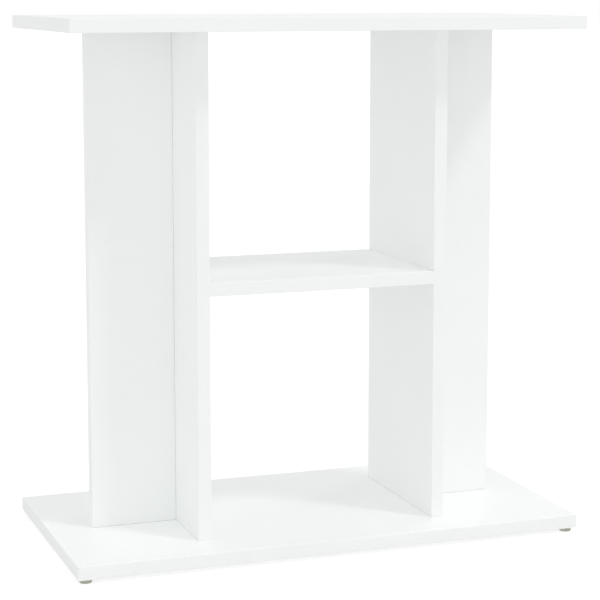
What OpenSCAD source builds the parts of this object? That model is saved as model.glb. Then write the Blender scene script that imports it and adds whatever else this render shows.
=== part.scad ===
// Open aquarium stand: two T-shaped legs and a shelf between a top panel and a base panel.
// Millimetres. +X is to the right, +Y is to the back and +Z is up.
// The origin is on the floor, below the middle of the base panel.

/* [Stand] */
// Width of the top and base panels
stand_w = 600; // [560:10:800]
// Depth of the top and base panels
stand_d = 300; // [280:10:400]
// Height from the underside of the base panel to the upper face of the top panel
body_h = 600; // [500:10:800]

/* [Boards] */
// Thickness of every board
board_t = 15; // [15:1:19]
// Thickness of the edge bands
band_t = 1; // [0.4:0.2:2]

/* [Legs and shelf] */
// Clear width between the two side panels
bay_w = 270; // [220:10:290]
// How far the legs stand back from the edges of the top and base panels
leg_inset = 50; // [30:5:60]
// Height of the middle of the shelf above the underside of the base panel
shelf_mid_h = 300; // [150:5:350]

/* [Glides] */
// Diameter of a glide
glide_d = 14; // [12:1:20]
// Height of a glide
glide_h = 5; // [4:0.5:8]
// Distance from the edges of the base panel to the middle of a glide
glide_inset = 10; // [10:1:20]

/* [Fasteners] */
// Diameter of a dowel
dowel_d = 8; // [6:1:8]
// Length of a dowel
dowel_l = 30; // [25:1:35]
// Diameter of a cam nut
cam_d = 14.8; // [14:0.1:15]
// Distance from the end of a board to the middle of its cam nut
cam_setback = 34; // [30:1:36]
// Length of a connector screw
screw_l = 50; // [40:1:55]

/* [Hidden] */
$fn = 64;

// Which way a part faces: left and front are negative, right and back are positive
left = -1;
right = 1;
front = -1;
back = 1;

// Heights above the floor
base_z = glide_h;
leg_z = base_z + board_t;
top_z = base_z + body_h - board_t;
leg_h = top_z - leg_z;
shelf_z = base_z + shelf_mid_h - board_t / 2;

// Places across the stand
side_in_x = bay_w / 2;
side_out_x = side_in_x + board_t;
wing_w = stand_w / 2 - leg_inset - side_out_x;
side_d = stand_d - 2 * leg_inset;

// Fasteners across the depth of a side panel and the shelf, measured from the middle
outer_y = 0.34 * side_d;
inner_y = 0.18 * side_d;
// Fasteners in the ends of a wing, measured from the side panel
wing_dowel_x = 0.32 * wing_w;
wing_screw_x = 0.64 * wing_w;
// Fasteners up the length of a wing, measured from its ends
wing_cam_z = 96;
wing_dowel_z = 160;

// Fits of the fasteners in the boards, around them and past their ends
bore_gap = 0.1;
depth_gap = 1;
cam_depth_gap = 0.2;
nail_depth_gap = 0.5;
// How far a cutting shape runs past the face that it opens
cut_past = 1;

// Dowels reach this far into the board whose face is drilled
dowel_in_face = 10;
dowel_chamfer = 0.8;
dowel_flutes = 16;
dowel_flute_r = 0.4;

// Cam nut: a cylinder with a pocket for the head of the bolt and a cross slot for the driver
cam_h = board_t - 3;
cam_sink = 0.3;
cam_pocket_r = 3.6;
cam_pocket_past = 4.5;
cam_slot_l = 9;
cam_slot_w = 1.6;
cam_slot_depth = 2;
cam_rim = 0.5;
// Arrow sunk in the face of a cam nut, pointing at its bolt
cam_arrow_l = 1.6;
cam_arrow_r = 6.4;
cam_arrow_depth = 0.5;

// Cam bolt: thread in one board, collar, shank, neck and head in the other
bolt_thread_l = 10.5;
bolt_crest_r = 2.9;
bolt_core_r = 2.3;
bolt_pitch = 1.5;
bolt_collar_r = 3.9;
bolt_collar_l = 2;
bolt_shank_r = 2.7;
bolt_neck_r = 1.7;
bolt_neck_l = 4;
bolt_head_r = 3.3;
bolt_head_l = 3;
bolt_chamfer = 0.8;
bolt_shoulder = 1;
bolt_bore_r = 4.1;

// Connector screw: flat head with a hexagon socket, smooth shank, coarse thread and point
screw_sink = 0.4;
screw_head_r = 5;
screw_head_h = 2.4;
screw_shank_r = 3.4;
screw_core_r = 2.4;
screw_pitch = 3;
screw_point_l = 3;
screw_tip_r = 0.6;
screw_rim = 0.3;
// Where the smooth shank ends, just past the joint between the boards
screw_thread_z = -2;
socket_across_corners = 4.6;
socket_depth = 1.8;

// Nail of a glide
nail_r = 0.9;
nail_head_r = 2.4;
nail_head_h = 0.9;
nail_l = 17;
nail_recess = 1.6;
nail_point_l = 2;
nail_tip_r = 0.2;
nail_chamfer = 0.3;

// Glide: the lower edge is rounded and the upper edge tapers in
glide_round = 1.5;
glide_taper_h = 1;
glide_taper = 0.6;

board_colour = [0.95, 0.96, 0.95];
band_colour = [0.94, 0.95, 0.94];
glide_colour = [0.67, 0.67, 0.62];
steel_colour = [0.72, 0.73, 0.75];
zinc_colour = [0.78, 0.78, 0.76];
beech_colour = [0.80, 0.66, 0.47];

// ---- Places of the fasteners -------------------------------------------------------------
// Each fastener is drawn with its origin on the joint between two boards. Its +Z points into
// the board whose face is drilled, its -Z into the board whose end is drilled, and its +Y is the
// way that a cam nut faces.

// Both ends of the side panels, at the given distances from the middle of their depth
module on_side_tops(y_list)
    for (side = [left, right], y = y_list)
        translate([side * (side_in_x + board_t / 2), y, top_z])
            rotate([0, 0, -90 * side]) children();

module on_side_bases(y_list)
    for (side = [left, right], y = y_list)
        translate([side * (side_in_x + board_t / 2), y, leg_z])
            rotate([180, 0, 0]) children();

// Both ends of the wings, at the given distance from the side panel
module on_wing_tops(x)
    for (side = [left, right])
        translate([side * (side_out_x + x), 0, top_z]) children();

module on_wing_bases(x)
    for (side = [left, right])
        translate([side * (side_out_x + x), 0, leg_z])
            rotate([180, 0, 0]) children();

// The joints between the wings and the outer faces of the side panels
module on_wing_sides(z_list)
    for (side = [left, right], z = z_list)
        translate([side * side_out_x, 0, z])
            rotate([0, -90 * side, 0]) children();

// The joints between the ends of the shelf and the inner faces of the side panels
module on_shelf_ends(y_list)
    for (side = [left, right], y = y_list)
        translate([side * side_in_x, y, shelf_z + board_t / 2])
            rotate([-90, 0, -90 * side]) children();

module at_top_dowels() {
    on_side_tops([-outer_y, -inner_y, inner_y]) children();
    on_wing_tops(wing_dowel_x) children();
}

module at_top_cams() {
    on_side_tops([outer_y]) children();
    on_wing_tops(wing_screw_x) children();
}

module at_base_dowels() {
    on_side_bases([-inner_y, inner_y]) children();
    on_wing_bases(wing_dowel_x) children();
}

module at_base_screws() {
    on_side_bases([-outer_y, outer_y]) children();
    on_wing_bases(wing_screw_x) children();
}

module at_wing_dowels()
    on_wing_sides([leg_z + wing_dowel_z, leg_z + leg_h / 2, top_z - wing_dowel_z]) children();

module at_wing_cams()
    on_wing_sides([leg_z + wing_cam_z, top_z - wing_cam_z]) children();

module at_shelf_dowels()
    on_shelf_ends([-inner_y, inner_y]) children();

module at_shelf_cams()
    on_shelf_ends([-outer_y, outer_y]) children();

module at_glide(side, end)
    translate([side * (stand_w / 2 - glide_inset), end * (stand_d / 2 - glide_inset), 0]) children();

module at_every_glide()
    for (side = [left, right], end = [front, back])
        at_glide(side, end) children();

// ---- Fasteners ---------------------------------------------------------------------------

// Fluted dowel with a chamfer at both ends
module dowel() {
    r = dowel_d / 2;
    translate([0, 0, dowel_in_face - dowel_l])
        difference() {
            rotate_extrude()
                polygon([
                    [0, 0],
                    [r - dowel_chamfer, 0],
                    [r, dowel_chamfer],
                    [r, dowel_l - dowel_chamfer],
                    [r - dowel_chamfer, dowel_l],
                    [0, dowel_l]
                ]);
            for (flute = [0 : dowel_flutes - 1])
                rotate([0, 0, flute * 360 / dowel_flutes])
                    translate([r, 0, -cut_past])
                        cylinder(r = dowel_flute_r, h = dowel_l + 2 * cut_past, $fn = 16);
        }
}

// Ring-shaped ridges of a thread, each with its crest halfway along the pitch
function ridges(z_low, z_high, pitch, core_r, crest_r) = [
    for (z = [z_low : pitch : z_high - pitch])
        each [[core_r, z], [crest_r, z + pitch / 2], [core_r, z + 0.9 * pitch]]
];

module cam_bolt() {
    head_low = -cam_setback - bolt_head_l / 2;
    head_high = head_low + bolt_head_l;
    shank_low = head_high + bolt_neck_l;
    thread = ridges(0, bolt_thread_l, bolt_pitch, bolt_core_r, bolt_crest_r);
    rotate_extrude()
        polygon(concat(
            [
                [0, head_low],
                [bolt_head_r - bolt_chamfer, head_low],
                [bolt_head_r, head_low + bolt_chamfer],
                [bolt_head_r, head_high - bolt_chamfer],
                [bolt_neck_r, head_high],
                [bolt_neck_r, shank_low],
                [bolt_shank_r, shank_low + bolt_shoulder],
                [bolt_shank_r, -bolt_collar_l - bolt_shoulder],
                [bolt_collar_r, -bolt_collar_l],
                [bolt_collar_r, 0]
            ],
            thread,
            [
                [bolt_core_r, bolt_thread_l],
                [0, bolt_thread_l]
            ]
        ));
}

// The cam nut lies across the board's thickness, with its slotted end just under the face. The
// slots stand at 45 degrees to the bolt, as they do once the cam is turned tight.
module cam_nut() {
    r = cam_d / 2;
    face_y = board_t / 2 - cam_sink;
    translate([0, 0, -cam_setback])
        difference() {
            translate([0, face_y, 0])
                rotate([90, 0, 0])
                    rotate_extrude()
                        polygon([
                            [0, 0],
                            [r - cam_rim, 0],
                            [r, cam_rim],
                            [r, cam_h],
                            [0, cam_h]
                        ]);
            translate([0, 0, -cam_pocket_past])
                cylinder(r = cam_pocket_r, h = r + cam_pocket_past + cut_past);
            for (turn = [-45, 45])
                translate([0, face_y, 0])
                    rotate([0, turn, 0])
                        cube([cam_slot_l, 2 * cam_slot_depth, cam_slot_w], center = true);
            translate([0, face_y + cut_past, cam_arrow_r])
                rotate([90, 0, 0])
                    linear_extrude(cam_arrow_depth + cut_past)
                        polygon([
                            [0, 0],
                            [cam_arrow_l / 2, -cam_arrow_l],
                            [-cam_arrow_l / 2, -cam_arrow_l]
                        ]);
        }
}

module connector_screw() {
    head_z = board_t - screw_sink;
    point_z = head_z - screw_l;
    thread_low = point_z + screw_point_l;
    thread = ridges(thread_low, screw_thread_z, screw_pitch, screw_core_r, screw_shank_r);
    difference() {
        rotate_extrude()
            polygon(concat(
                [
                    [0, point_z],
                    [screw_tip_r, point_z]
                ],
                thread,
                [
                    [screw_core_r, screw_thread_z],
                    [screw_shank_r, screw_thread_z + 1],
                    [screw_shank_r, head_z - screw_head_h],
                    [screw_head_r, head_z - screw_rim],
                    [screw_head_r, head_z],
                    [0, head_z]
                ]
            ));
        translate([0, 0, head_z - socket_depth])
            cylinder(d = socket_across_corners, h = socket_depth + cut_past, $fn = 6);
    }
}

module glide() {
    r = glide_d / 2;
    // Quarter round along the lower edge
    foot = [for (a = [0 : 15 : 90]) [
        r - glide_round + glide_round * sin(a),
        glide_round - glide_round * cos(a)
    ]];
    rotate_extrude()
        polygon(concat(
            [
                [nail_r + bore_gap, nail_recess],
                [nail_head_r + bore_gap, nail_recess],
                [nail_head_r + bore_gap, 0]
            ],
            foot,
            [
                [r, glide_h - glide_taper_h],
                [r - glide_taper, glide_h],
                [nail_r + bore_gap, glide_h]
            ]
        ));
}

module glide_nail() {
    head_z = nail_recess - nail_head_h;
    rotate_extrude()
        polygon([
            [0, head_z],
            [nail_head_r - nail_chamfer, head_z],
            [nail_head_r, head_z + nail_chamfer],
            [nail_head_r, nail_recess],
            [nail_r, nail_recess],
            [nail_r, nail_l - nail_point_l],
            [nail_tip_r, nail_l],
            [0, nail_l]
        ]);
}

// ---- Bores for the fasteners -------------------------------------------------------------

// A bore from below the joint to above it, along the fastener
module bore(r, low, high)
    translate([0, 0, low]) cylinder(r = r, h = high - low);

// Bores in the board whose face is drilled
module dowel_face_bore()
    bore(dowel_d / 2 + bore_gap, -cut_past, dowel_in_face + depth_gap);

module bolt_face_bore()
    bore(bolt_crest_r + bore_gap, -cut_past, bolt_thread_l + depth_gap);

module screw_face_bore() {
    head_low = board_t - screw_sink - screw_head_h;
    bore(screw_shank_r + bore_gap, -cut_past, board_t + cut_past);
    translate([0, 0, head_low])
        cylinder(
            r1 = screw_shank_r + bore_gap,
            r2 = screw_head_r + bore_gap,
            h = screw_head_h - screw_rim
        );
    bore(screw_head_r + bore_gap, board_t - screw_sink - screw_rim, board_t + cut_past);
}

// Bores in the board whose end is drilled
module dowel_end_bore()
    bore(dowel_d / 2 + bore_gap, dowel_in_face - dowel_l - depth_gap, cut_past);

module cam_end_bores() {
    bore(bolt_bore_r, -cam_setback, cut_past);
    translate([0, board_t / 2 + cut_past, -cam_setback])
        rotate([90, 0, 0])
            cylinder(d = cam_d + 2 * bore_gap, h = cam_h + cam_sink + cut_past + cam_depth_gap);
}

module screw_end_bore()
    bore(screw_shank_r + bore_gap, board_t - screw_sink - screw_l - depth_gap, cut_past);

module nail_bore()
    bore(nail_r + bore_gap, glide_h - cut_past, nail_l + nail_depth_gap);

// ---- Boards ------------------------------------------------------------------------------

// The board inside the edge bands of the top or base panel
module horizontal_board(z)
    translate([-stand_w / 2 + band_t, -stand_d / 2 + band_t, z])
        cube([stand_w - 2 * band_t, stand_d - 2 * band_t, board_t]);

module top_panel()
    color(board_colour)
        difference() {
            horizontal_board(top_z);
            at_top_dowels() dowel_face_bore();
            at_top_cams() bolt_face_bore();
        }

module base_panel()
    color(board_colour)
        difference() {
            horizontal_board(base_z);
            at_base_dowels() dowel_face_bore();
            at_base_screws() screw_face_bore();
            at_every_glide() nail_bore();
        }

module side_panel(side)
    color(board_colour)
        difference() {
            translate([side * (side_in_x + board_t / 2), 0, leg_z + leg_h / 2])
                cube([board_t, side_d - 2 * band_t, leg_h], center = true);
            at_top_dowels() dowel_end_bore();
            at_top_cams() cam_end_bores();
            at_base_dowels() dowel_end_bore();
            at_base_screws() screw_end_bore();
            at_wing_dowels() dowel_face_bore();
            at_wing_cams() bolt_face_bore();
            at_shelf_dowels() dowel_face_bore();
            at_shelf_cams() bolt_face_bore();
        }

module wing_panel(side) {
    core_w = wing_w - band_t;
    color(board_colour)
        difference() {
            translate([side * (side_out_x + core_w / 2), 0, leg_z + leg_h / 2])
                cube([core_w, board_t, leg_h], center = true);
            at_top_dowels() dowel_end_bore();
            at_top_cams() cam_end_bores();
            at_base_dowels() dowel_end_bore();
            at_base_screws() screw_end_bore();
            at_wing_dowels() dowel_end_bore();
            at_wing_cams() cam_end_bores();
        }
}

module shelf()
    color(board_colour)
        difference() {
            translate([-side_in_x, -side_d / 2 + band_t, shelf_z])
                cube([bay_w, side_d - 2 * band_t, board_t]);
            at_shelf_dowels() dowel_end_bore();
            at_shelf_cams() cam_end_bores();
        }

// ---- Edge bands --------------------------------------------------------------------------

// A band along the front or back of a board, as long as the board and its other bands
module band_along_x(length, edge_y, end, z)
    color(band_colour)
        translate([-length / 2, end * (edge_y - band_t / 2) - band_t / 2, z])
            cube([length, band_t, board_t]);

// A band across the left or right end of the top or base panel, between the other two bands
module band_along_y(side, z)
    color(band_colour)
        translate([side * (stand_w / 2 - band_t / 2), 0, z + board_t / 2])
            cube([band_t, stand_d - 2 * band_t, board_t], center = true);

module side_edge_band(side, end)
    color(band_colour)
        translate([side * (side_in_x + board_t / 2), end * (side_d - band_t) / 2, leg_z + leg_h / 2])
            cube([board_t, band_t, leg_h], center = true);

module wing_edge_band(side)
    color(band_colour)
        translate([side * (side_out_x + wing_w - band_t / 2), 0, leg_z + leg_h / 2])
            cube([band_t, board_t, leg_h], center = true);

// ---- Groups of fasteners -----------------------------------------------------------------

module corner_glide(side, end) color(glide_colour) at_glide(side, end) glide();
module glide_nails() color(steel_colour) at_every_glide() glide_nail();

module top_dowels() color(beech_colour) at_top_dowels() dowel();
module base_dowels() color(beech_colour) at_base_dowels() dowel();
module wing_dowels() color(beech_colour) at_wing_dowels() dowel();
module shelf_dowels() color(beech_colour) at_shelf_dowels() dowel();

module top_cam_bolts() color(steel_colour) at_top_cams() cam_bolt();
module wing_cam_bolts() color(steel_colour) at_wing_cams() cam_bolt();
module shelf_cam_bolts() color(steel_colour) at_shelf_cams() cam_bolt();

module top_cam_nuts() color(zinc_colour) at_top_cams() cam_nut();
module wing_cam_nuts() color(zinc_colour) at_wing_cams() cam_nut();
module shelf_cam_nuts() color(zinc_colour) at_shelf_cams() cam_nut();

module base_screws() color(steel_colour) at_base_screws() connector_screw();

// ---- The object --------------------------------------------------------------------------

top_panel();
base_panel();
side_panel(left);  // left_side_panel
side_panel(right);  // right_side_panel
wing_panel(left);  // left_wing_panel
wing_panel(right);  // right_wing_panel
shelf();

band_along_x(stand_w, stand_d / 2, front, top_z);  // top_edge_band_front
band_along_x(stand_w, stand_d / 2, back, top_z);  // top_edge_band_back
band_along_y(left, top_z);  // top_edge_band_left
band_along_y(right, top_z);  // top_edge_band_right
band_along_x(stand_w, stand_d / 2, front, base_z);  // base_edge_band_front
band_along_x(stand_w, stand_d / 2, back, base_z);  // base_edge_band_back
band_along_y(left, base_z);  // base_edge_band_left
band_along_y(right, base_z);  // base_edge_band_right
side_edge_band(left, front);  // left_side_edge_band_front
side_edge_band(left, back);  // left_side_edge_band_back
side_edge_band(right, front);  // right_side_edge_band_front
side_edge_band(right, back);  // right_side_edge_band_back
wing_edge_band(left);  // left_wing_edge_band
wing_edge_band(right);  // right_wing_edge_band
band_along_x(bay_w, side_d / 2, front, shelf_z);  // shelf_edge_band_front
band_along_x(bay_w, side_d / 2, back, shelf_z);  // shelf_edge_band_back

corner_glide(left, front);  // glide_front_left
corner_glide(right, front);  // glide_front_right
corner_glide(left, back);  // glide_back_left
corner_glide(right, back);  // glide_back_right
glide_nails();

top_dowels();
base_dowels();
wing_dowels();
shelf_dowels();
top_cam_bolts();
wing_cam_bolts();
shelf_cam_bolts();
top_cam_nuts();
wing_cam_nuts();
shelf_cam_nuts();
base_screws();
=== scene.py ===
"""Looks of the open aquarium stand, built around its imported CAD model.

Every visible shape is a CAD node. This script rounds the edges of the boards and their edge bands with
modifiers, gives each node a procedural material, and adds a plain white studio and the camera.
"""

import math
from collections import Counter

import bpy
from mathutils import Euler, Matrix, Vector


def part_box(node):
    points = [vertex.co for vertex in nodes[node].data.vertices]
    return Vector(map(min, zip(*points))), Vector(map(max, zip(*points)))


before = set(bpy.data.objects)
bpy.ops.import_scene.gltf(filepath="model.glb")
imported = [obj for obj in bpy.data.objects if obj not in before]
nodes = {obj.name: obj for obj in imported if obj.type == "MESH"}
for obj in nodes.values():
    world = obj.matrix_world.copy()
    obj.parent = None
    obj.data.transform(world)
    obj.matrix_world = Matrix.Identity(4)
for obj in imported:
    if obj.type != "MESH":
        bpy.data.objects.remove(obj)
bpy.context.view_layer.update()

MM = 0.001


# ---- Which node belongs to which panel ---------------------------------------------------------
def bands_of(panel, *sides):
    return [f"{panel}_edge_band_{side}" for side in sides]


# panel: its board, its edge bands, and the axis of its thickness
PANELS = {
    "top": ("top_panel", bands_of("top", "front", "back", "left", "right"), "Z"),
    "base": ("base_panel", bands_of("base", "front", "back", "left", "right"), "Z"),
    "left_side": ("left_side_panel", bands_of("left_side", "front", "back"), "X"),
    "right_side": ("right_side_panel", bands_of("right_side", "front", "back"), "X"),
    "left_wing": ("left_wing_panel", ["left_wing_edge_band"], "Y"),
    "right_wing": ("right_wing_panel", ["right_wing_edge_band"], "Y"),
    "shelf": ("shelf", bands_of("shelf", "front", "back"), "Z"),
}
FREE_ALL_ROUND = ("top", "base")  # the other panels end against a neighbour
AXES = "XYZ"

# ---- Sizes of the edge rounding, in metres -----------------------------------------------------
OUTER_ROUNDING = 0.45 * MM  # a panel's own outer edges, scraped round
CONTACT_CHAMFER = 0.28 * MM  # where a panel ends against another, which leaves a hairline that the dark dust skin fills with painted shade
SEAM_ROUNDING = 0.04 * MM  # between a board and its edge bands, and at the rims of bores
WELD_DISTANCE = 0.001 * MM
PLACE_TOLERANCE = 0.01 * MM

# ---- Colours, linear RGB -----------------------------------------------------------------------
WHITE_PAPER = (0.862, 0.878, 0.870)
WHITE_PAPER_DEEP = (0.853, 0.869, 0.861)
# The edging's white is a shade darker than the paper's: painted shade that darkens the front edges
# against the lit tops
WHITE_BAND_SHADED = (0.856, 0.873, 0.864)
WHITE_BAND_DEEP_SHADED = (0.847, 0.864, 0.855)
CHIP_COLOURS = ((0.20, 0.105, 0.045), (0.38, 0.235, 0.115), (0.55, 0.385, 0.215), (0.66, 0.50, 0.31))
# Fine wood dust under the paper, darkened as painted shade for the hairlines at the joints
DUST_SHADE_COLOURS = ((0.085, 0.070, 0.055), (0.17, 0.145, 0.115))
BEECH_COLOURS = ((0.44, 0.255, 0.125), (0.60, 0.39, 0.215), (0.69, 0.485, 0.29))
GLIDE_COLOURS = ((0.385, 0.39, 0.325), (0.44, 0.445, 0.375))
GLIDE_SCUFFED = (0.52, 0.525, 0.46)
STEEL = ((0.50, 0.50, 0.49), (0.62, 0.62, 0.61))
ZINC_PLATE = ((0.56, 0.565, 0.56), (0.70, 0.70, 0.685))
ZINC_CAST = ((0.36, 0.365, 0.37), (0.50, 0.505, 0.51))


# ---- Materials ---------------------------------------------------------------------------------
class Graph:
    """One material and the nodes that feed its shader. Places are in metres, in the stand's frame."""

    MIX_SOCKETS = {"FLOAT": (2, 3, 0), "VECTOR": (4, 5, 1), "RGBA": (6, 7, 2)}  # a, b and the result

    def __init__(self, name, **shader_values):
        self.material = bpy.data.materials.new(name)
        self.material.use_nodes = True
        self.tree = self.material.node_tree
        self.shader = next(n for n in self.tree.nodes if n.type == "BSDF_PRINCIPLED")
        for socket, value in shader_values.items():
            self.shader.inputs[socket.replace("_", " ")].default_value = value
        self.place = self.add("ShaderNodeTexCoord").outputs["Object"]

    def add(self, kind, values=None, **settings):
        """A node of that kind. A value is a number, a colour, or another node's output to link."""
        node = self.tree.nodes.new(kind)
        for name, setting in settings.items():
            setattr(node, name, setting)
        for socket, value in (values or {}).items():
            if isinstance(value, bpy.types.NodeSocket):
                self.tree.links.new(value, node.inputs[socket])
            else:
                node.inputs[socket].default_value = value
        return node

    def feed(self, socket, output):
        self.tree.links.new(output, self.shader.inputs[socket])

    def math(self, operation, a, b=None):
        values = {0: a} if b is None else {0: a, 1: b}
        return self.add("ShaderNodeMath", values, operation=operation).outputs[0]

    def vector_math(self, operation, values):
        return self.add("ShaderNodeVectorMath", values, operation=operation).outputs["Vector"]

    def stretched(self, axis, along):
        """The place, scaled by `along` on one axis."""
        scale = [along if name == axis else 1.0 for name in AXES]
        return self.add("ShaderNodeMapping", {"Vector": self.place, "Scale": scale}).outputs["Vector"]

    def noise(self, per_metre, detail=2.0, roughness=0.5, output="Fac", at=None):
        values = {
            "Vector": at or self.place,
            "Scale": per_metre,
            "Detail": detail,
            "Roughness": roughness,
        }
        return self.add("ShaderNodeTexNoise", values).outputs[output]

    def cells(self, per_metre, output="Distance", at=None):
        values = {"Vector": at or self.place, "Scale": per_metre}
        return self.add("ShaderNodeTexVoronoi", values).outputs[output]

    def between(self, amount, low, high, floor=0.3, ceiling=0.7):
        """Takes an amount that runs from floor to ceiling to a number from low to high."""
        values = {
            "Value": amount,
            "From Min": floor,
            "From Max": ceiling,
            "To Min": low,
            "To Max": high,
        }
        return self.add("ShaderNodeMapRange", values).outputs["Result"]

    def ramp(self, amount, colours, floor=0.3, ceiling=0.7):
        """Colours spread evenly over an amount from floor to ceiling."""
        node = self.add("ShaderNodeValToRGB", {"Fac": amount})
        stops = node.color_ramp.elements
        while len(stops) < len(colours):
            stops.new(1.0)
        for i, colour in enumerate(colours):
            stops[i].position = floor + (ceiling - floor) * i / (len(colours) - 1)
            stops[i].color = (*colour, 1.0)
        return node.outputs["Color"]

    def mix(self, amount, a, b, kind="RGBA"):
        """a where the amount is 0 and b where it is 1."""
        first, second, result = self.MIX_SOCKETS[kind]
        values = {0: amount, first: a, second: b}
        return self.add("ShaderNodeMix", values, data_type=kind).outputs[result]

    def bump(self, height, depth, strength=1.0, under=None):
        """Relief of that depth in metres for a height from 0 to 1, on top of another relief."""
        values = {"Height": height, "Distance": depth, "Strength": strength}
        if under is not None:
            values["Normal"] = under
        return self.add("ShaderNodeBump", values).outputs["Normal"]


def board_material(name, node, axis):
    """White melamine paper on both faces of a board, and chipboard in whatever is cut into it.

    The layers are told apart by the distance from the middle of the board's thickness: paper, then
    a dense skin of fine wood dust, darkened as painted shade for the hairlines at the joints, then the
    coarse chips.
    """
    paper_thickness = 0.12 * MM
    skin_opens = 1.2 * MM  # the depth at which the dust skin, dark as painted shade, starts to give way to chips
    skin_ends = 1.8 * MM  # the depth from which there are only chips
    chips_per_metre = 620.0
    chip_flatness = 2.6  # how many times wider than thick a chip is
    chip_wander = 2.2 * MM  # how far the outlines of the chips are bent
    i = AXES.index(axis)
    low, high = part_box(node)
    middle = (low[i] + high[i]) / 2
    half = (high[i] - low[i]) / 2

    g = Graph(name)
    split = g.add("ShaderNodeSeparateXYZ", {"Vector": g.place})
    off_middle = g.math("ABSOLUTE", g.math("SUBTRACT", split.outputs[i], middle))
    paper = g.math("GREATER_THAN", off_middle, half - paper_thickness)

    # Melamine paper: a slow drift of tone, a faint cloudiness, and a fine pearl texture
    drift = g.noise(9.0, detail=1.0)
    cloud = g.noise(70.0, detail=3.0, roughness=0.6)
    tone = g.math("ADD", g.math("MULTIPLY", drift, 0.6), g.math("MULTIPLY", cloud, 0.4))
    white = g.ramp(tone, (WHITE_PAPER_DEEP, WHITE_PAPER), floor=0.38, ceiling=0.60)
    pearl = g.noise(1300.0, roughness=0.55)
    peel = g.noise(380.0, detail=1.0)
    paper_roughness = g.between(g.math("ADD", pearl, g.math("SUBTRACT", cloud, 0.5)), 0.33, 0.45)

    # Chipboard: pressed chips of several browns, lying flat in the board, with open gaps
    flat = g.stretched(axis, chip_flatness)
    wander = g.noise(300.0, output="Color", at=flat)
    push = g.vector_math("SCALE", {0: wander, "Scale": chip_wander})
    bent = g.vector_math("ADD", {0: flat, 1: push})
    chip = g.cells(chips_per_metre, "Color", at=bent)
    chip_value = g.add("ShaderNodeSeparateColor", {"Color": chip}).outputs[0]
    brown = g.ramp(chip_value, CHIP_COLOURS, floor=0.0, ceiling=1.0)
    gaps = g.cells(chips_per_metre, at=bent)
    fibre = g.noise(2600.0, detail=4.0, roughness=0.7, at=flat)
    core_height = g.math("SUBTRACT", fibre, gaps)
    # Dust skin under the paper: fine dust, darkened as painted shade so that the joint hairlines read
    # dark
    dust_and_shade = g.ramp(g.noise(1900.0, at=flat), DUST_SHADE_COLOURS, floor=0.35, ceiling=0.65)
    dust_shade_layer = g.between(off_middle, 0.0, 1.0, floor=half - skin_ends, ceiling=half - skin_opens)

    paper_relief = g.bump(pearl, 0.018 * MM, 0.8, under=g.bump(peel, 0.035 * MM, 0.6))
    core_relief = g.bump(core_height, 0.25 * MM, 0.9)
    g.feed("Base Color", g.mix(paper, g.mix(dust_shade_layer, brown, dust_and_shade), white))
    g.feed("Roughness", g.mix(paper, 0.9, paper_roughness, kind="FLOAT"))
    g.feed("Normal", g.mix(paper, core_relief, paper_relief, kind="VECTOR"))
    return g.material


def band_material(name, axis):
    """White plastic edging a shade darker than the paper as painted shade: faint lines of the extrusion
    along its length, a little glossier.
    """
    g = Graph(name)
    drift = g.noise(14.0)
    lines = g.noise(1500.0, at=g.stretched(axis, 0.012))
    grain = g.noise(1100.0, roughness=0.6)
    texture = g.math("MULTIPLY", g.math("ADD", lines, grain), 0.5)
    g.feed("Base Color", g.ramp(drift, (WHITE_BAND_DEEP_SHADED, WHITE_BAND_SHADED), floor=0.40, ceiling=0.60))
    g.feed("Roughness", g.between(texture, 0.27, 0.40))
    g.feed("Normal", g.bump(lines, 0.010 * MM, 0.6, under=g.bump(grain, 0.012 * MM, 0.3)))
    return g.material


def glide_material():
    """Olive-grey moulded plastic with a fine spark-eroded skin, scuffed underneath."""
    g = Graph("glide_plastic", IOR=1.5)
    cloud = g.noise(260.0, detail=3.0)
    skin = g.noise(3200.0, roughness=0.6)
    scuff = g.noise(900.0, detail=3.0, roughness=0.7, at=g.stretched("X", 0.18))
    height = g.add("ShaderNodeSeparateXYZ", {"Vector": g.place}).outputs[2]
    worn = g.between(height, 1.0, 0.0, floor=0.15 * MM, ceiling=0.9 * MM)
    plain = g.ramp(cloud, GLIDE_COLOURS, floor=0.38, ceiling=0.62)
    rubbed = g.ramp(scuff, (GLIDE_COLOURS[0], GLIDE_SCUFFED), floor=0.42, ceiling=0.66)
    dullness = g.math("ADD", skin, g.math("MULTIPLY", worn, 0.3))
    g.feed("Base Color", g.mix(g.math("MULTIPLY", worn, 0.8), plain, rubbed))
    g.feed("Roughness", g.between(dullness, 0.42, 0.62, floor=0.3, ceiling=0.9))
    g.feed("Normal", g.bump(skin, 0.02 * MM, 0.6))
    return g.material


def beech_material(name, axis):
    """Beech dowel: long grain along the dowel with short dark flecks."""
    g = Graph(name)
    grain = g.noise(900.0, detail=4.0, roughness=0.6, at=g.stretched(axis, 0.06))
    flecks = g.cells(1100.0, at=g.stretched(axis, 0.22))
    wood = g.ramp(grain, BEECH_COLOURS, floor=0.30, ceiling=0.72)
    dark = g.between(flecks, 0.55, 0.0, floor=0.05, ceiling=0.28)
    g.feed("Base Color", g.mix(dark, wood, (*BEECH_COLOURS[0], 1.0)))
    g.feed("Roughness", g.between(grain, 0.62, 0.82))
    g.feed("Normal", g.bump(grain, 0.10 * MM, 0.6))
    return g.material


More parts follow.
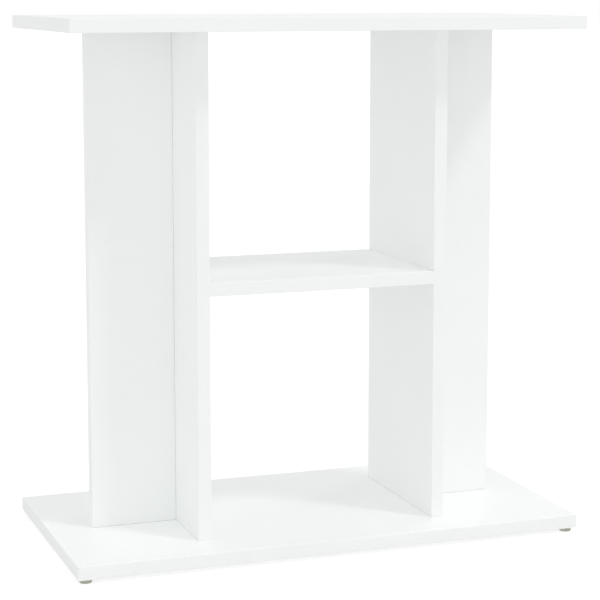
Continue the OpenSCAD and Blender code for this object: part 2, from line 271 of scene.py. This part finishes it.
def metal_material(name, colours, roughness, brushed=None, relief=0.012 * MM, specks=0.0):
    """Metal with a mottled tone. brushed is the axis of its drawing lines; specks dull it in spots."""
    g = Graph(name, Metallic=1.0)
    mottle = g.noise(520.0, detail=4.0, roughness=0.65)
    fine = g.noise(3000.0, detail=3.0, at=g.stretched(brushed, 0.04) if brushed else None)
    tone = g.math("MULTIPLY", g.math("ADD", mottle, fine), 0.5)
    g.feed("Base Color", g.ramp(tone, colours, floor=0.36, ceiling=0.64))
    dull = g.math("MULTIPLY", g.cells(2400.0), specks)
    low, high = roughness
    g.feed("Roughness", g.math("ADD", g.between(tone, low, high), dull))
    g.feed("Normal", g.bump(fine, relief, 0.5))
    return g.material


# ---- Edge rounding -----------------------------------------------------------------------------
def panel_box(board, bands):
    """The lowest and highest corners of a board with its edge bands."""
    boxes = [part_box(name) for name in (board, *bands)]
    low = [min(box[0][i] for box in boxes) for i in range(3)]
    high = [max(box[1][i] for box in boxes) for i in range(3)]
    return low, high


def longest_axis(node):
    low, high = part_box(node)
    return max(range(3), key=lambda i: high[i] - low[i])


def weight_edges(name, panel, low, high):
    """Gives every sharp edge of a board or an edge band its share of the bevel's width.

    low and high are the corners of the whole panel, and an edge that lies on two of its faces is an
    edge of the panel. The imported mesh is split along its sharp edges, so each of them belongs to
    only one face of the mesh.
    """
    mesh = nodes[name].data
    _, bands, _ = PANELS[panel]
    uses = Counter(key for face in mesh.polygons for key in face.edge_keys)
    weights = mesh.attributes.new("bevel_weight_edge", "FLOAT", "EDGE")
    for edge in mesh.edges:
        if uses[edge.key] != 1:
            continue
        a, b = (mesh.vertices[v].co for v in edge.vertices)
        panel_faces = sum(
            any(max(abs(a[i] - side[i]), abs(b[i] - side[i])) < PLACE_TOLERANCE for side in (low, high))
            for i in range(3)
        )
        runs_along = max(range(3), key=lambda i: abs(a[i] - b[i]))
        if panel_faces < 2:
            width = SEAM_ROUNDING
        elif panel in FREE_ALL_ROUND or (name in bands and runs_along == longest_axis(name)):
            width = OUTER_ROUNDING
        else:
            width = CONTACT_CHAMFER
        weights.data[edge.index].value = width / OUTER_ROUNDING


def weld_faces(name):
    """Joins the faces that the import left apart, so that the final mesh is closed."""
    weld = nodes[name].modifiers.new("weld", "WELD")
    weld.merge_threshold = WELD_DISTANCE


def round_edges(name, segments):
    """Rounds the weighted edges of a board or an edge band. One segment is a flat chamfer."""
    obj = nodes[name]
    bevel = obj.modifiers.new("rounding", "BEVEL")
    bevel.width = OUTER_ROUNDING
    bevel.segments = segments
    bevel.limit_method = "WEIGHT"
    bevel.use_clamp_overlap = False
    bevel.loop_slide = False
    normals = obj.modifiers.new("normals", "WEIGHTED_NORMAL")
    normals.keep_sharp = True


def finish_node(name, material):
    """Welds a CAD node and gives it a material in place of the one it was packed with."""
    weld_faces(name)
    for slot in nodes[name].material_slots:
        slot.material = material


band_materials = {axis: band_material(f"edging_along_{axis.lower()}", axis) for axis in AXES}

for panel, (board, bands, thickness_axis) in PANELS.items():
    low, high = panel_box(board, bands)
    finish_node(board, board_material(f"melamine_{panel}", board, thickness_axis))
    weight_edges(board, panel, low, high)
    round_edges(board, segments=1)
    for band in bands:
        finish_node(band, band_materials[AXES[longest_axis(band)]])
        weight_edges(band, panel, low, high)
        round_edges(band, segments=4)

glide_plastic = glide_material()
for end in ("front", "back"):
    for side in ("left", "right"):
        finish_node(f"glide_{end}_{side}", glide_plastic)

nail_steel = metal_material("nail_steel", STEEL, (0.26, 0.42), brushed="Z")
bolt_steel_z = metal_material("cam_bolt_steel_upright", ZINC_PLATE, (0.24, 0.38), brushed="Z")
bolt_steel_x = metal_material("cam_bolt_steel_level", ZINC_PLATE, (0.24, 0.38), brushed="X")
cast_zinc = metal_material("cam_nut_zinc", ZINC_CAST, (0.38, 0.56), relief=0.03 * MM, specks=0.10)
screw_steel = metal_material("screw_zinc_plate", ZINC_PLATE, (0.22, 0.36), brushed="Z")
beech_upright = beech_material("beech_upright", "Z")
beech_level = beech_material("beech_level", "X")

FASTENER_MATERIALS = {
    "glide_nails": nail_steel,
    "top_dowels": beech_upright,
    "base_dowels": beech_upright,
    "wing_dowels": beech_level,
    "shelf_dowels": beech_level,
    "top_cam_bolts": bolt_steel_z,
    "wing_cam_bolts": bolt_steel_x,
    "shelf_cam_bolts": bolt_steel_x,
    "top_cam_nuts": cast_zinc,
    "wing_cam_nuts": cast_zinc,
    "shelf_cam_nuts": cast_zinc,
    "base_screws": screw_steel,
}
for name, material in FASTENER_MATERIALS.items():
    finish_node(name, material)

# ---- Studio ------------------------------------------------------------------------------------
FLOOR_RADIUS = 30.0
FLOOR_SIDES = 96
# The floor is a light table: how white it is, and its own glow
FLOOR_SEEN = (0.42, 0.64)  # to the camera
FLOOR_CAST = (0.54, 0.22)  # to the stand
# The brightness of the sky, to the camera and to the stand
SKY_SEEN = 1.0
SKY_CAST = 0.75

WHITE_LIGHT = (1.0, 1.0, 1.0)
# Angles in degrees: turn is anticlockwise from the front, seen from above, height is above the floor,
# and across is the lamp's own width. A strength of 1 lights a white face that looks at the lamp to
# full white.
SHAPING_LAMPS = {  # these cast shadows
    "key": dict(turn=44.5, height=49.5, across=9.0, strength=0.172, colour=(1.0, 1.0, 0.99)),
    "back_window": dict(turn=121.0, height=38.0, across=14.0, strength=0.071, colour=(0.85, 0.78, 1.0)),
}
FILL_LAMPS = {  # these cast no shadows
    "overhead": dict(turn=0.0, height=80.0, across=40.0, strength=0.145),
    "fill_front": dict(turn=0.0, height=5.0, across=30.0, strength=0.154),
    "fill_left": dict(turn=-110.0, height=20.0, across=30.0, strength=0.188),
}


def make_floor():
    """A wide pale disc at floor height."""
    ring = [
        (FLOOR_RADIUS * math.cos(turn), FLOOR_RADIUS * math.sin(turn), 0.0)
        for turn in (2 * math.pi * i / FLOOR_SIDES for i in range(FLOOR_SIDES))
    ]
    mesh = bpy.data.meshes.new("floor")
    mesh.from_pydata(ring, [], [list(range(FLOOR_SIDES))])
    floor = bpy.data.objects.new("floor", mesh)
    bpy.context.scene.collection.objects.link(floor)
    g = Graph("floor_paint", Roughness=0.9, Specular_IOR_Level=0.0)
    seen = g.add("ShaderNodeLightPath").outputs["Is Camera Ray"]
    tone = g.between(g.noise(1.5), 0.99, 1.0)
    white, glow = [
        g.mix(seen, cast, shown, kind="FLOAT")
        for cast, shown in zip(FLOOR_CAST, FLOOR_SEEN)
    ]
    grey = g.math("MULTIPLY", tone, white)
    g.feed("Base Color", g.add("ShaderNodeCombineColor", {0: grey, 1: grey, 2: grey}).outputs[0])
    g.shader.inputs["Emission Color"].default_value = (1.0, 1.0, 1.0, 1.0)
    g.feed("Emission Strength", glow)
    mesh.materials.append(g.material)


def make_sky():
    """White all round to the camera, dimmer as a light, so that the lamps shape the stand."""
    world = bpy.data.worlds.new("studio_sky")
    world.use_nodes = True
    tree = world.node_tree
    seen = tree.nodes.new("ShaderNodeLightPath").outputs["Is Camera Ray"]
    first, second, result = Graph.MIX_SOCKETS["FLOAT"]
    strength = tree.nodes.new("ShaderNodeMix")
    strength.inputs[first].default_value = SKY_CAST
    strength.inputs[second].default_value = SKY_SEEN
    tree.links.new(seen, strength.inputs[0])
    background = tree.nodes["Background"]
    background.inputs["Color"].default_value = (1.0, 1.0, 1.0, 1.0)
    tree.links.new(strength.outputs[result], background.inputs["Strength"])
    bpy.context.scene.world = world


def make_lamp(name, turn, height, across, strength, colour=WHITE_LIGHT, shadows=False, glossy=False):
    """A distant round softbox. glossy says whether it shows in reflections."""
    turn, height = math.radians(turn), math.radians(height)
    towards = Vector((
        math.sin(turn) * math.cos(height),
        -math.cos(turn) * math.cos(height),
        math.sin(height),
    ))
    lamp = bpy.data.lights.new(name, "SUN")
    lamp.angle = math.radians(across)
    lamp.energy = strength * math.pi
    lamp.color = colour
    lamp.use_shadow = shadows
    holder = bpy.data.objects.new(name, lamp)
    holder.visible_glossy = glossy
    holder.rotation_euler = towards.to_track_quat("Z", "Y").to_euler()
    bpy.context.scene.collection.objects.link(holder)


def make_camera():
    """The photograph's viewpoint: at the front left, just above the top panel, looking down a little."""
    pitch_down = math.radians(7.90)
    turn_right = math.radians(19.83)
    data = bpy.data.cameras.new("camera")
    data.sensor_width = 36.0
    data.lens = 112.02
    data.shift_y = -0.085
    data.clip_end = 100.0
    camera = bpy.data.objects.new("camera", data)
    camera.location = (-0.7333, -2.0525, 0.6342)
    camera.rotation_euler = Euler((math.pi / 2 - pitch_down, 0.0, -turn_right))
    bpy.context.scene.collection.objects.link(camera)
    bpy.context.scene.camera = camera


make_floor()
make_sky()
for lamp_name, settings in SHAPING_LAMPS.items():
    make_lamp(lamp_name, **settings, shadows=True, glossy=lamp_name == "key")
for lamp_name, settings in FILL_LAMPS.items():
    make_lamp(lamp_name, **settings)
make_camera()
bpy.context.scene.view_settings.view_transform = "Standard"
